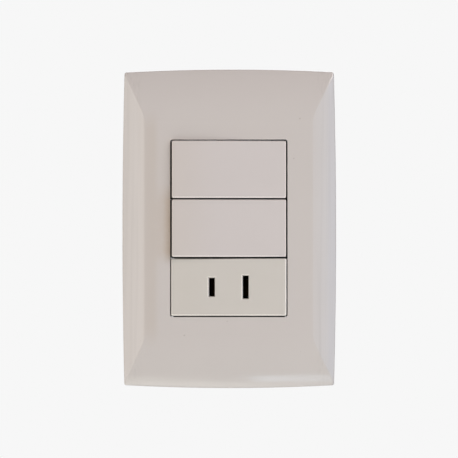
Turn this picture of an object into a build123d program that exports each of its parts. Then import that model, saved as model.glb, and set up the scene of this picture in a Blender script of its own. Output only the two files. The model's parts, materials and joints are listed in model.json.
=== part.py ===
from build123d import *
from math import atan2, cos, hypot, radians, sin, tan
import os

# Two rocker switches and a two-pin socket in one wall plate, all in millimetres.
# The wall is the plane Y = 0, the room is towards -Y, the wall box towards +Y, and +Z is up.
# The origin is midway between the two box screws, on the wall plane.

# Rows of modules, counted from the middle one, which is level with the origin
MODULE_ROWS = {"upper_switch": 1, "lower_switch": 0, "socket": -1}
MODULE_PITCH = 22.1
MODULE_GAP = 0.3

# Cover plate: outline, height off the wall, and the slopes that fall to its rim
PLATE_WIDTH = 80.5
PLATE_HEIGHT = 120.0
PLATE_DEPTH = 9.0
PLATE_WALL = 2.0
RIM_HEIGHT = 4.4
SIDE_BOW = 0.8
END_BOW = 1.1
SIDE_SLOPE = 8.8
END_SLOPE = 19.5
SIDE_CREASE_ANGLE = 7.0
END_CREASE_ANGLE = 1.0
PLATE_EDGE_RADIUS = 0.8
OPENING_CORNER_RADIUS = 0.9
OPENING_EDGE_RADIUS = 0.3
OPENING_END_GAP = 0.45
COLLAR_WALL = 1.5
COLLAR_GAP = 0.3

# Snap hooks that hold the plate on the frame's outer flanges
HOOK_Z = 28.0
HOOK_WIDTH = 8.0
HOOK_THICKNESS = 1.4
HOOK_CLEARANCE = 0.25
HOOK_REACH = 0.8
HOOK_NIB_HEIGHT = 1.2
HOOK_NIB_Y = -2.8
HOOK_TAIL = 0.8

# Key: the part of a switch that is pressed
KEY_WIDTH = 43.1
KEY_HEIGHT = 21.6
KEY_SIDE_GAP = 0.5
KEY_PROUD = 0.8
KEY_FACE = 1.8
KEY_SKIRT = 1.2
KEY_EDGE_RADIUS = 0.45
KEY_CORNER_RADIUS = 0.6
KEY_STOP_GAP = 0.15
KEY_CLIP_WIDTH = 6.0
KEY_CLIP_THICKNESS = 1.0
KEY_CLIP_CATCH = 0.5
KEY_CLIP_CLEARANCE = 0.1

# Rocker: carries the key, and turns on two pins under it
ROCK_HALF_ANGLE = 3.0
PIVOT_SET_BACK = 4.2
PIN_RADIUS = 1.1
PIN_CLEARANCE = 0.06
HUB_RADIUS = 2.0
ROCKER_PLATE_LENGTH = 18.0
ROCKER_PLATE_WIDTH = 14.6
ROCKER_PLATE = 1.0
BARREL_RADIUS = 2.4
BARREL_BORE_RADIUS = 1.65
SPRING_SEAT = 1.8
ROCKER_CORNER_RADIUS = 1.0

# Plunger and its spring, inside the rocker's barrel
PLUNGER_RADIUS = 1.55
PLUNGER_BODY = 4.0
PLUNGER_SINK = 0.6
PLUNGER_NOSE_RADIUS = 1.0
PLUNGER_NOSE_OUT = 2.9
PLUNGER_NOSE_GAP = 0.1
PLUNGER_CHAMFER = 0.2
SPRING_RADIUS = 1.2
SPRING_WIRE_RADIUS = 0.18
SPRING_PITCH = 0.9
SPRING_END_GAP = 0.05

# Moving contact: a see-saw strip on a knife-edge axle
SEESAW_HALF_ANGLE = 6.0
SEESAW_REACH = 9.6
SEESAW_WIDTH = 5.0
SEESAW_THICKNESS = 0.8
SEESAW_AXLE_RADIUS = 0.7
SEESAW_AXLE_SINK = 0.4
SEESAW_CORNER_RADIUS = 0.8
CONTACT_ARM = 8.0
TIP_RADIUS = 1.6
TIP_HEIGHT = 0.8
TIP_EDGE_RADIUS = 0.25
TIP_SHANK_RADIUS = 0.8
TIP_GAP_CLOSED = 0.06
CRADLE_CLEARANCE = 0.05
CRADLE_EAR = 0.8
CRADLE_EAR_LENGTH = 4.4
CRADLE_HEIGHT = 0.8
CRADLE_RISE = 0.9

# Carrier: the front half of each module, which snaps into the frame
CARRIER_WIDTH = 44.8
CARRIER_WALL = 1.2
CARRIER_BACK = 6.0
CARRIER_CORNER_RADIUS = 0.4
DECK_SET_BACK = 4.5
DECK = 1.5
BARREL_HOLE_WIDTH = 8.4
SHOULDER_REACH = 2.4
SHOULDER = 1.4
TONGUE_WIDTH = 8.4
TONGUE_SLIT = 0.8
TONGUE_ROOT = 0.4
TOOTH_REACH = 1.0
TOOTH_WIDTH = 7.0
TOOTH_FRONT = 2.2
TOOTH_LENGTH = 2.6
TOOTH_CLEARANCE = 0.25
TOOTH_ROOT = 0.5
EAR_WALL = 1.5
EAR_HALF_LENGTH = 2.6
EAR_OVER_PIN = 0.8
EAR_GAP = 0.2
EAR_RADIUS = 1.0
LEG_X = 7.5
LEG_WIDTH = 5.0
LEG_THICKNESS = 1.0
LEG_ROOT = 4.0
LEG_LENGTH = 5.0
LEG_TOOTH = 1.0
LEG_TOOTH_LENGTH = 1.8
LEG_TIP = 0.4
LEG_CLEARANCE = 0.15

# Base: the back half of each module, which holds the live parts
BASE_WIDTH = 44.0
BASE_DEPTH = 17.2
BASE_WALL = 1.4
BASE_BACK_WALL = 1.6
BASE_EDGE_RADIUS = 1.0
PARTITION = 1.2
PARTITION_RISE = 2.4
POST_WIDTH = 5.2
POST_LENGTH = 5.0
CHEEK = 1.1
CHEEK_DEPTH = 5.5
BARRIER = 1.4
BARRIER_DEPTH = 14.0
WIRE_MOUTH_CLEARANCE = 0.4
WIRE_MOUTH_CHAMFER = 0.5
SCREW_HOLE_RADIUS = 2.5

# Tunnel terminals and the strips on them
WIRE_RADIUS = 1.8
TERMINAL_LENGTH = 8.9
TERMINAL_WIDTH = 6.8
TERMINAL_THREAD_WALL = 2.1
TERMINAL_THIN_WALL = 0.9
TERMINAL_CLEARANCE = 0.1
TERMINAL_CHAMFER = 0.3
SCREW_RADIUS = 1.5
SCREW_LENGTH = 4.0
SCREW_CLEARANCE = 0.05
SCREW_SLOT = 0.7
SCREW_SLOT_DEPTH = 0.9
SCREW_CHAMFER = 0.25
STUD_RADIUS = 0.6
STUD_HEAD_RADIUS = 1.1
STUD_HEAD = 0.5
STUD_CHAMFER = 0.2
STUD_EDGE = 1.5
STRIP = 0.8
STRIP_BEND_RADIUS = 0.9
STRIP_END_INSET = 0.3
STRIP_PAST_TIP = 0.4

# Socket front and its contact clips, for two flat parallel blades
SOCKET_FACE_WIDTH = 43.4
SOCKET_FACE_HEIGHT = 21.6
SOCKET_PROUD = 0.2
SOCKET_FACE = 1.8
SOCKET_WALL = 1.3
SLOT_SPACING = 12.7
SLOT_WIDTH = 2.2
LEFT_SLOT_HEIGHT = 6.95
RIGHT_SLOT_HEIGHT = 8.6
SLOT_CHAMFER = 0.3
SLOT_BLOCK_WIDTH = 19.0
SLOT_BLOCK_HEIGHT = 12.0
CLIP_GAP = 1.4
CLIP_LEAF = 0.7
CLIP_WIDTH = 6.0
CLIP_FRONT_GAP = 0.4
CLIP_MOUTH = 1.2
CLIP_FLARE = 0.8
CLIP_PINCH_Y = 1.5

# Mounting frame: one folded sheet of steel
FRAME_SIDE_MARGIN = 7.45
FRAME_END_MARGIN = 7.0
FRAME_SHEET = 1.0
FRAME_CORNER_RADIUS = 6.0
FRAME_BEND_RADIUS = 0.2
FRAME_FOLD = 2.0
WINDOW_CLEARANCE = 0.35
WINDOW_END_CLEARANCE = 0.25
WINDOW_CORNER_RADIUS = 0.5
INNER_FLANGE_DEPTH = 7.0
INNER_FLANGE_END_INSET = 1.2
OUTER_FLANGE_HEIGHT = 5.5
OUTER_FLANGE_LENGTH = 80.0
BOX_SCREW_SPACING = 83.5
BOX_SLOT_RADIUS = 2.1
BOX_SLOT_LENGTH = 7.2
BEAD_RADIUS = 2.2
BEAD_HEIGHT = 0.8
BEAD_LENGTH = 24.0
BEAD_INSET = 4.5

# How far a cutter runs past the face that it opens
OVERRUN = 1.0

# Levels along Y that several pieces share
KEY_FACE_Y = -(PLATE_DEPTH + KEY_PROUD)
SOCKET_FACE_Y = -(PLATE_DEPTH + SOCKET_PROUD)
PIVOT_Y = KEY_FACE_Y + PIVOT_SET_BACK
DECK_FRONT_Y = DECK_SET_BACK - PLATE_DEPTH
BASE_BACK_Y = CARRIER_BACK + BASE_DEPTH
FLOOR_Y = BASE_BACK_Y - BASE_BACK_WALL
TERMINAL_BACK_Y = FLOOR_Y - TERMINAL_CLEARANCE
TERMINAL_FRONT_Y = TERMINAL_BACK_Y - TERMINAL_LENGTH
STRIP_FRONT_Y = TERMINAL_FRONT_Y - STRIP
SEESAW_Y = STRIP_FRONT_Y - CRADLE_HEIGHT
SCREW_Y = (TERMINAL_FRONT_Y + TERMINAL_BACK_Y) / 2

# Half sizes across X and Z that several pieces share
BODY_HALF_HEIGHT = (MODULE_PITCH - MODULE_GAP) / 2
CARRIER_HALF = CARRIER_WIDTH / 2
BASE_HALF = BASE_WIDTH / 2
BASE_INNER_HALF_HEIGHT = BODY_HALF_HEIGHT - BASE_WALL
OPENING_WIDTH = KEY_WIDTH + 2 * KEY_SIDE_GAP
ROW_SPREAD = (max(MODULE_ROWS.values()) - min(MODULE_ROWS.values())) * MODULE_PITCH
OPENING_HEIGHT = ROW_SPREAD + KEY_HEIGHT + 2 * OPENING_END_GAP
TERMINAL_OUTER_X = BASE_HALF - BASE_WALL - TERMINAL_CLEARANCE
WIRE_X = TERMINAL_OUTER_X - TERMINAL_THREAD_WALL - WIRE_RADIUS
TERMINAL_INNER_X = WIRE_X - WIRE_RADIUS - TERMINAL_THIN_WALL
STUD_X = TERMINAL_OUTER_X - STUD_EDGE
PARTITION_OUTER_X = TERMINAL_INNER_X - TERMINAL_CLEARANCE
PARTITION_INNER_X = PARTITION_OUTER_X - PARTITION
WINDOW_HALF = CARRIER_HALF + WINDOW_CLEARANCE
FRAME_WIDTH = PLATE_WIDTH - 2 * FRAME_SIDE_MARGIN
FRAME_HEIGHT = PLATE_HEIGHT - 2 * FRAME_END_MARGIN
FRAME_HALF = FRAME_WIDTH / 2

# The closed switch sets how deep the fixed contact sits
SEESAW_FRONT_Y = SEESAW_Y - SEESAW_AXLE_SINK - SEESAW_THICKNESS
SEESAW_BACK_Y = SEESAW_Y - SEESAW_AXLE_SINK
TIP_BACK = TIP_HEIGHT - SEESAW_AXLE_SINK
TIP_EDGE_X = CONTACT_ARM + TIP_RADIUS
TIP_SWING_Y = TIP_EDGE_X * sin(radians(SEESAW_HALF_ANGLE)) + TIP_BACK * cos(radians(SEESAW_HALF_ANGLE))
FIXED_TIP_FRONT_Y = SEESAW_Y + TIP_SWING_Y + TIP_GAP_CLOSED

# The see-saw sets how far the plunger reaches from the rocker's pivot
PLUNGER_REACH = SEESAW_FRONT_Y - PLUNGER_NOSE_GAP - PLUNGER_NOSE_RADIUS - PIVOT_Y
BARREL_END = PLUNGER_REACH - PLUNGER_NOSE_OUT


def span_box(x, y, z):
    """A box given by its (low, high) range along each axis."""
    middle = [(low + high) / 2 for low, high in (x, y, z)]
    size = [high - low for low, high in (x, y, z)]
    return Pos(*middle) * Box(*size)


def mirrored(span, side):
    """A (low, high) range of X on the right, moved to the side named by +1 or -1."""
    return tuple(sorted(side * value for value in span))


def rod_x(radius, x, y, z):
    """A cylinder along X over the range x."""
    plane = Plane(origin=(x[0], y, z), z_dir=(1, 0, 0))
    return extrude(plane * Circle(radius), x[1] - x[0])


def rod_y(radius, x, y, z):
    """A cylinder along Y over the range y."""
    plane = Plane(origin=(x, y[0], z), z_dir=(0, 1, 0))
    return extrude(plane * Circle(radius), y[1] - y[0])


def rod_z(radius, x, y, z):
    """A cylinder along Z over the range z."""
    plane = Plane(origin=(x, y, z[0]), z_dir=(0, 0, 1))
    return extrude(plane * Circle(radius), z[1] - z[0])


def turned(shape, pivot_y, angle):
    """A shape turned about the Z axis through (0, pivot_y); a positive angle sinks its right side."""
    return shape.rotate(Axis((0, pivot_y, 0), (0, 0, 1)), angle)


def slope_profile(half, flat_half, depth, drop, crease):
    """Section of the plate: flat in the middle, then a convex arc down to each side.

    The arc leaves the flat at the crease angle, so 0 is a tangent arc.
    """
    run = half - flat_half
    chord = hypot(run, drop)
    rise = chord / 2 * tan((atan2(drop, run) - radians(crease)) / 2)
    middle_u = (half + flat_half) / 2 + rise * drop / chord
    middle_v = depth - drop / 2 + rise * run / chord
    edge = depth - drop
    return make_face(
        [
            Polyline((-half, edge), (-half, 0), (half, 0), (half, edge)),
            ThreePointArc((half, edge), (middle_u, middle_v), (flat_half, depth)),
            Line((flat_half, depth), (-flat_half, depth)),
            ThreePointArc((-flat_half, depth), (-middle_u, middle_v), (-half, edge)),
        ]
    )


def plate_outline(inset):
    """The bowed outline, moved in by inset on every side."""
    side = PLATE_WIDTH / 2 - inset
    end = PLATE_HEIGHT / 2 - inset
    corner_x = side - SIDE_BOW
    corner_z = end - END_BOW
    return make_face(
        [
            ThreePointArc((-corner_x, corner_z), (0, end), (corner_x, corner_z)),
            ThreePointArc((corner_x, corner_z), (side, 0), (corner_x, -corner_z)),
            ThreePointArc((corner_x, -corner_z), (0, -end), (-corner_x, -corner_z)),
            ThreePointArc((-corner_x, -corner_z), (-side, 0), (-corner_x, corner_z)),
        ]
    )


def plate_form(inset):
    """The plate as a solid pillow, moved in by inset on its sides and its front."""
    drop = PLATE_DEPTH - RIM_HEIGHT
    depth = PLATE_DEPTH - inset
    prism = extrude(Plane.XZ * plate_outline(inset), PLATE_DEPTH)
    side_half = PLATE_WIDTH / 2
    sides = slope_profile(side_half - inset, side_half - SIDE_SLOPE, depth, drop, SIDE_CREASE_ANGLE)
    across = Plane(origin=(0, 0, PLATE_HEIGHT), x_dir=(1, 0, 0), z_dir=(0, 0, -1))
    end_half = PLATE_HEIGHT / 2
    ends = slope_profile(end_half - inset, end_half - END_SLOPE, depth, drop, END_CREASE_ANGLE)
    along = Plane(origin=(-PLATE_WIDTH, 0, 0), x_dir=(0, 0, 1), z_dir=(1, 0, 0))
    arch = extrude(across * sides, 2 * PLATE_HEIGHT) & extrude(along * ends, 2 * PLATE_WIDTH)
    return prism & arch


def softened(form):
    """The plate's form with its hips, its corners and the front edge of its rim rounded."""
    edges = form.edges().filter_by_position(Axis.Y, -PLATE_DEPTH * 0.98, -RIM_HEIGHT * 0.3)
    return fillet(edges, PLATE_EDGE_RADIUS)


def opening_prism(margin):
    """The modules' opening as a prism through the plate, grown by margin."""
    size = RectangleRounded(
        OPENING_WIDTH + 2 * margin,
        OPENING_HEIGHT + 2 * margin,
        OPENING_CORNER_RADIUS + margin,
    )
    return extrude(Plane.XZ * size, 2 * PLATE_DEPTH, both=True)


def plate_hooks():
    """Four spring legs behind the plate, each with a nib that catches a window in the frame."""
    inner = FRAME_HALF + HOOK_CLEARANCE
    tail_y = HOOK_NIB_Y + HOOK_NIB_HEIGHT / 2 + HOOK_TAIL
    hooks = Part()
    for side in (-1, 1):
        for end in (-1, 1):
            z = (end * HOOK_Z - HOOK_WIDTH / 2, end * HOOK_Z + HOOK_WIDTH / 2)
            leg = span_box(mirrored((inner, inner + HOOK_THICKNESS), side), (-PLATE_DEPTH, tail_y), z)
            nib = make_face(
                Polyline(
                    (side * inner, HOOK_NIB_Y - HOOK_NIB_HEIGHT / 2),
                    (side * (inner - HOOK_REACH), HOOK_NIB_Y - HOOK_NIB_HEIGHT / 2),
                    (side * (inner - HOOK_REACH), HOOK_NIB_Y),
                    (side * inner, tail_y),
                    close=True,
                )
            )
            hooks += leg + extrude(Pos(0, 0, z[0]) * nib, HOOK_WIDTH)
    return hooks & plate_form(PLATE_WALL / 2)


def cover_plate():
    """The visible plate: a thin pillow-shaped shell with a collar around its opening."""
    collar = opening_prism(COLLAR_WALL) & span_box(
        (-PLATE_WIDTH, PLATE_WIDTH), (-PLATE_DEPTH, DECK_FRONT_Y - COLLAR_GAP), (-PLATE_HEIGHT, PLATE_HEIGHT)
    )
    shell = softened(plate_form(0)) - plate_form(PLATE_WALL)
    shell += collar & plate_form(PLATE_WALL / 2)
    return shell + plate_hooks() - opening_prism(0)


def frame_sheet():
    """The flat of the frame, with its window."""
    outer = RectangleRounded(FRAME_WIDTH, FRAME_HEIGHT, FRAME_CORNER_RADIUS)
    window = RectangleRounded(
        2 * WINDOW_HALF,
        ROW_SPREAD + 2 * (BODY_HALF_HEIGHT + WINDOW_END_CLEARANCE),
        WINDOW_CORNER_RADIUS,
    )
    return extrude(Plane.XZ * (outer - window), FRAME_SHEET)


def box_slots():
    """The two upright slots for the wall box's screws."""
    slot = SlotOverall(BOX_SLOT_LENGTH, 2 * BOX_SLOT_RADIUS, rotation=90)
    slots = Part()
    for end in (-1, 1):
        slots += extrude(Plane.XZ * Pos(0, end * BOX_SCREW_SPACING / 2) * slot, 2 * FRAME_SHEET, both=True)
    return slots


def fold(side, sheet_x, bend_x, end_y):
    """Section of a flange folded from the sheet, from sheet_x over the bend to end_y."""
    middle_y = -FRAME_SHEET / 2
    line = FilletPolyline(
        (side * sheet_x, middle_y),
        (side * bend_x, middle_y),
        (side * bend_x, end_y),
        radius=FRAME_BEND_RADIUS + FRAME_SHEET / 2,
    )
    return trace(line, FRAME_SHEET)


def bead(end):
    """A stiffening bead pressed into one end of the frame: its raised front and the hollow behind."""
    place = Plane.XZ * Pos(0, end * (FRAME_HEIGHT / 2 - BEAD_INSET))
    front = extrude(place * SlotOverall(BEAD_LENGTH, 2 * BEAD_RADIUS), FRAME_SHEET + BEAD_HEIGHT)
    front = chamfer(front.faces().sort_by(Axis.Y)[0].edges(), BEAD_HEIGHT / 2)
    inner = SlotOverall(BEAD_LENGTH - 2 * FRAME_SHEET, 2 * (BEAD_RADIUS - FRAME_SHEET))
    return front, extrude(place * inner, BEAD_HEIGHT)


def mounting_frame():
    """The folded steel frame: outer flanges for the plate, inner flanges for the modules."""
    frame = frame_sheet()
    for end in (-1, 1):
        front, hollow = bead(end)
        frame = frame + front - hollow
    inner_length = ROW_SPREAD + 2 * (BODY_HALF_HEIGHT - INNER_FLANGE_END_INSET)
    inner_x = (WINDOW_HALF + FRAME_FOLD, WINDOW_HALF + FRAME_SHEET / 2)
    outer_x = (FRAME_HALF - FRAME_FOLD, FRAME_HALF - FRAME_SHEET / 2)
    for (sheet_x, bend_x), end_y, length in (
        (inner_x, INNER_FLANGE_DEPTH, inner_length),
        (outer_x, -OUTER_FLANGE_HEIGHT, OUTER_FLANGE_LENGTH),
    ):
        for side in (-1, 1):
            z = (-length / 2, length / 2)
            edge_x = tuple(sorted((side * sheet_x, side * (2 * bend_x - sheet_x))))
            frame -= span_box(edge_x, (-2 * FRAME_SHEET, FRAME_SHEET), z)
            frame += extrude(Pos(0, 0, z[0]) * fold(side, sheet_x, bend_x, end_y), length)
    return frame - box_slots() - frame_windows()


def frame_windows():
    """Windows in the flanges for the plate's hooks and for the modules' teeth."""
    windows = []
    nib_half = HOOK_NIB_HEIGHT / 2
    nib_y = (HOOK_NIB_Y - nib_half - TOOTH_CLEARANCE, HOOK_NIB_Y + nib_half + HOOK_TAIL)
    tooth_y = (TOOTH_FRONT - TOOTH_CLEARANCE, TOOTH_FRONT + TOOTH_LENGTH + TOOTH_CLEARANCE)
    for side in (-1, 1):
        outer_x = mirrored((FRAME_HALF - 2 * FRAME_SHEET, FRAME_HALF + FRAME_SHEET), side)
        inner_x = mirrored((WINDOW_HALF - FRAME_SHEET, WINDOW_HALF + 2 * FRAME_SHEET), side)
        for end in (-1, 1):
            reach = HOOK_WIDTH / 2 + TOOTH_CLEARANCE
            windows.append(span_box(outer_x, nib_y, (end * HOOK_Z - reach, end * HOOK_Z + reach)))
        for row in MODULE_ROWS.values():
            middle = row * MODULE_PITCH
            reach = TOOTH_WIDTH / 2 + TOOTH_CLEARANCE
            windows.append(span_box(inner_x, tooth_y, (middle - reach, middle + reach)))
    return Part() + windows


def key():
    """The pressed part, level with the wall; its clips grip the rocker's plate."""
    half_width = KEY_WIDTH / 2
    half_height = KEY_HEIGHT / 2
    back_y = DECK_FRONT_Y - KEY_STOP_GAP - half_width * sin(radians(ROCK_HALF_ANGLE))
    body = span_box((-half_width, half_width), (KEY_FACE_Y, back_y), (-half_height, half_height))
    body = fillet(body.edges().filter_by(Axis.Y), KEY_CORNER_RADIUS)
    body = fillet(body.faces().sort_by(Axis.Y)[0].edges(), KEY_EDGE_RADIUS)
    inner_half_width = half_width - KEY_SKIRT
    inner_half_height = half_height - KEY_SKIRT
    body -= span_box(
        (-inner_half_width, inner_half_width),
        (KEY_FACE_Y + KEY_FACE, PIVOT_Y),
        (-inner_half_height, inner_half_height),
    )
    grip = ROCKER_PLATE_LENGTH / 2 + KEY_CLIP_CLEARANCE
    catch_y = KEY_FACE_Y + KEY_FACE + ROCKER_PLATE + KEY_CLIP_CLEARANCE
    for side in (-1, 1):
        clip = make_face(
            Polyline(
                (side * grip, KEY_FACE_Y + KEY_FACE / 2),
                (side * (grip + KEY_CLIP_THICKNESS), KEY_FACE_Y + KEY_FACE / 2),
                (side * (grip + KEY_CLIP_THICKNESS), catch_y + KEY_CLIP_CATCH),
                (side * grip, catch_y + 2 * KEY_CLIP_CATCH),
                (side * (grip - KEY_CLIP_CATCH - KEY_CLIP_CLEARANCE), catch_y),
                (side * grip, catch_y),
                close=True,
            )
        )
        body += extrude(Pos(0, 0, -KEY_CLIP_WIDTH / 2) * clip, KEY_CLIP_WIDTH)
    return body


def rocker():
    """The rocker's plate, hub, pins and barrel, level with the wall."""
    half_length = ROCKER_PLATE_LENGTH / 2
    half_width = ROCKER_PLATE_WIDTH / 2
    plate_y = KEY_FACE_Y + KEY_FACE
    pin_half = half_width + EAR_GAP + EAR_WALL
    body = span_box((-half_length, half_length), (plate_y, plate_y + ROCKER_PLATE), (-half_width, half_width))
    body = fillet(body.edges().filter_by(Axis.Y), ROCKER_CORNER_RADIUS)
    body += rod_z(HUB_RADIUS, 0, PIVOT_Y, (-half_width, half_width))
    body += rod_z(PIN_RADIUS, 0, PIVOT_Y, (-pin_half, pin_half))
    body += rod_y(BARREL_RADIUS, 0, (PIVOT_Y, PIVOT_Y + BARREL_END), 0)
    return body - rod_y(BARREL_BORE_RADIUS, 0, (PIVOT_Y + SPRING_SEAT, PIVOT_Y + BARREL_END + OVERRUN), 0)


def plunger():
    """The stepped plunger in the barrel, with a round nose that rides on the see-saw."""
    body_end = BARREL_END - PLUNGER_SINK
    body = rod_y(PLUNGER_RADIUS, 0, (PIVOT_Y + body_end - PLUNGER_BODY, PIVOT_Y + body_end), 0)
    body = chamfer(body.edges().filter_by(GeomType.CIRCLE), PLUNGER_CHAMFER)
    body += rod_y(PLUNGER_NOSE_RADIUS, 0, (PIVOT_Y + body_end - PLUNGER_BODY / 2, PIVOT_Y + PLUNGER_REACH), 0)
    return body + Pos(0, PIVOT_Y + PLUNGER_REACH, 0) * Sphere(PLUNGER_NOSE_RADIUS)


def plunger_spring():
    """The coil between the barrel's blind end and the plunger."""
    start_y = PIVOT_Y + SPRING_SEAT + SPRING_WIRE_RADIUS + SPRING_END_GAP
    body_back = PIVOT_Y + BARREL_END - PLUNGER_SINK - PLUNGER_BODY
    length = body_back - SPRING_WIRE_RADIUS - SPRING_END_GAP - start_y
    path = Helix(SPRING_PITCH, length, SPRING_RADIUS, center=(0, start_y, 0), direction=(0, 1, 0))
    section = Plane(origin=path @ 0, z_dir=path % 0) * Circle(SPRING_WIRE_RADIUS)
    return sweep(section, path=path, is_frenet=True)


def seesaw():
    """The moving contact, level: a strip with its axle underneath and a hole for its tip."""
    half_width = SEESAW_WIDTH / 2
    axle_half = half_width + EAR_GAP + CRADLE_EAR
    body = span_box((-SEESAW_REACH, SEESAW_REACH), (SEESAW_FRONT_Y, SEESAW_BACK_Y), (-half_width, half_width))
    body = fillet(body.edges().filter_by(Axis.Y), SEESAW_CORNER_RADIUS)
    body += rod_z(SEESAW_AXLE_RADIUS, 0, SEESAW_Y, (-axle_half, axle_half))
    return body - rod_y(TIP_SHANK_RADIUS, CONTACT_ARM, (SEESAW_FRONT_Y - OVERRUN, SEESAW_BACK_Y + OVERRUN), 0)


def contact_tip(x, face_y, strip_y, strip_back):
    """A rivet of contact metal: its head from face_y to the strip, its shank through the strip."""
    low, high = sorted((face_y, strip_y))
    head = rod_y(TIP_RADIUS, x, (low, high), 0)
    face = head.faces().sort_by(Axis.Y)[0 if face_y < strip_y else -1]
    head = fillet(face.edges(), TIP_EDGE_RADIUS)
    return head + rod_y(TIP_SHANK_RADIUS, x, tuple(sorted((strip_y, strip_back))), 0)


def folded_strip(points, width):
    """A strip bent along the points of its middle line, standing across Z."""
    line = FilletPolyline(*points, radius=STRIP_BEND_RADIUS)
    return extrude(Pos(0, 0, -width / 2) * trace(line, STRIP), width)


def stud_hole(side):
    """The hole in a strip through which the terminal's stud is riveted."""
    return rod_y(STUD_RADIUS, side * STUD_X, (STRIP_FRONT_Y - OVERRUN, TERMINAL_FRONT_Y + OVERRUN), 0)


def pivot_strip():
    """The left strip: from its terminal to the two notched ears of the see-saw's cradle."""
    middle_y = STRIP_FRONT_Y + STRIP / 2
    half_length = CRADLE_EAR_LENGTH / 2
    half_width = SEESAW_WIDTH / 2 + EAR_GAP
    end_x = STUD_X + STUD_HEAD_RADIUS - STRIP_END_INSET
    body = span_box(
        (-end_x, half_length),
        (STRIP_FRONT_Y, TERMINAL_FRONT_Y),
        (-SEESAW_WIDTH / 2, SEESAW_WIDTH / 2),
    )
    for side in (-1, 1):
        ear_z = mirrored((half_width, half_width + CRADLE_EAR), side)
        foot_z = mirrored((0, half_width + CRADLE_EAR), side)
        body += span_box((-half_length, half_length), (SEESAW_Y - CRADLE_RISE, TERMINAL_FRONT_Y), ear_z)
        body += span_box((-half_length, half_length), (STRIP_FRONT_Y, TERMINAL_FRONT_Y), foot_z)
    notch_radius = SEESAW_AXLE_RADIUS + CRADLE_CLEARANCE
    reach = half_width + 2 * CRADLE_EAR
    body -= rod_z(notch_radius, 0, SEESAW_Y, (-reach, reach))
    body -= span_box((-notch_radius, notch_radius), (SEESAW_Y - 2 * CRADLE_RISE, SEESAW_Y), (-reach, reach))
    return body - stud_hole(-1)


def fixed_strip():
    """The right strip: from its terminal, with a step down to the fixed contact tip."""
    high_y = STRIP_FRONT_Y + STRIP / 2
    low_y = FIXED_TIP_FRONT_Y + TIP_HEIGHT + STRIP / 2
    end_x = STUD_X + STUD_HEAD_RADIUS - STRIP_END_INSET
    step_x = PARTITION_INNER_X - STRIP_BEND_RADIUS
    points = [
        (end_x, high_y),
        (step_x, high_y),
        (step_x - (low_y - high_y), low_y),
        (CONTACT_ARM - TIP_RADIUS - STRIP_PAST_TIP, low_y),
    ]
    body = folded_strip(points, SEESAW_WIDTH) - stud_hole(1)
    return body - rod_y(TIP_SHANK_RADIUS, CONTACT_ARM, (low_y - OVERRUN, low_y + OVERRUN), 0)


def terminal_block(side):
    """A brass tunnel terminal: a wire bore along Y, a tapped hole from the end, and a riveted stud."""
    block = span_box(
        mirrored((TERMINAL_INNER_X, TERMINAL_OUTER_X), side),
        (TERMINAL_FRONT_Y, TERMINAL_BACK_Y),
        (-TERMINAL_WIDTH / 2, TERMINAL_WIDTH / 2),
    )
    block = chamfer(block.edges().filter_by(Axis.Y), TERMINAL_CHAMFER)
    block += rod_y(STUD_RADIUS, side * STUD_X, (STRIP_FRONT_Y, TERMINAL_FRONT_Y), 0)
    head = rod_y(STUD_HEAD_RADIUS, side * STUD_X, (STRIP_FRONT_Y - STUD_HEAD, STRIP_FRONT_Y), 0)
    block += chamfer(head.faces().sort_by(Axis.Y)[0].edges(), STUD_CHAMFER)
    block -= rod_y(WIRE_RADIUS, side * WIRE_X, (TERMINAL_FRONT_Y - OVERRUN, TERMINAL_BACK_Y + OVERRUN), 0)
    tapped = mirrored((WIRE_X, TERMINAL_OUTER_X + OVERRUN), side)
    return block - rod_x(SCREW_RADIUS + SCREW_CLEARANCE, tapped, SCREW_Y, 0)


def terminal_screw(side):
    """A slotted headless screw, its tip level with the wall of the wire bore."""
    tip_x = WIRE_X + WIRE_RADIUS
    span = mirrored((tip_x, tip_x + SCREW_LENGTH), side)
    screw = chamfer(rod_x(SCREW_RADIUS, span, SCREW_Y, 0).edges().filter_by(GeomType.CIRCLE), SCREW_CHAMFER)
    slot_x = mirrored((tip_x + SCREW_LENGTH - SCREW_SLOT_DEPTH, tip_x + SCREW_LENGTH + OVERRUN), side)
    slot_y = (SCREW_Y - SCREW_SLOT / 2, SCREW_Y + SCREW_SLOT / 2)
    return screw - span_box(slot_x, slot_y, (-2 * SCREW_RADIUS, 2 * SCREW_RADIUS))


def carrier_shell(wall):
    """What bridge and socket front share: deck, skirt, shoulders, snap tongues and legs."""
    half_x = CARRIER_HALF
    half_z = BODY_HALF_HEIGHT
    body = span_box((-half_x, half_x), (DECK_FRONT_Y, CARRIER_BACK), (-half_z, half_z))
    body = fillet(body.edges().filter_by(Axis.Y), CARRIER_CORNER_RADIUS)
    body -= span_box(
        (wall - half_x, half_x - wall),
        (DECK_FRONT_Y + DECK, CARRIER_BACK),
        (wall - half_z, half_z - wall),
    )
    for side in (-1, 1):
        body += span_box(
            mirrored((half_x - wall, half_x + SHOULDER_REACH), side),
            (-FRAME_SHEET - SHOULDER, -FRAME_SHEET),
            (-half_z, half_z),
        )
        body = body - tongue_slits(side, wall) + tooth(side)
    for side_x in (-1, 1):
        for side_z in (-1, 1):
            body += leg(side_x * LEG_X, side_z, wall)
    return body


def tongue_slits(side, wall):
    """Slits either side of a tongue, and the cut that leaves its end free of the base."""
    x = mirrored((CARRIER_HALF - 2 * wall, CARRIER_HALF + OVERRUN), side)
    inner = TONGUE_WIDTH / 2
    slits = span_box(x, (CARRIER_BACK - TONGUE_ROOT, CARRIER_BACK + OVERRUN), (-inner, inner))
    for end in (-1, 1):
        z = mirrored((inner, inner + TONGUE_SLIT), end)
        slits += span_box(x, (TONGUE_ROOT, CARRIER_BACK + OVERRUN), z)
    return slits


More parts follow.
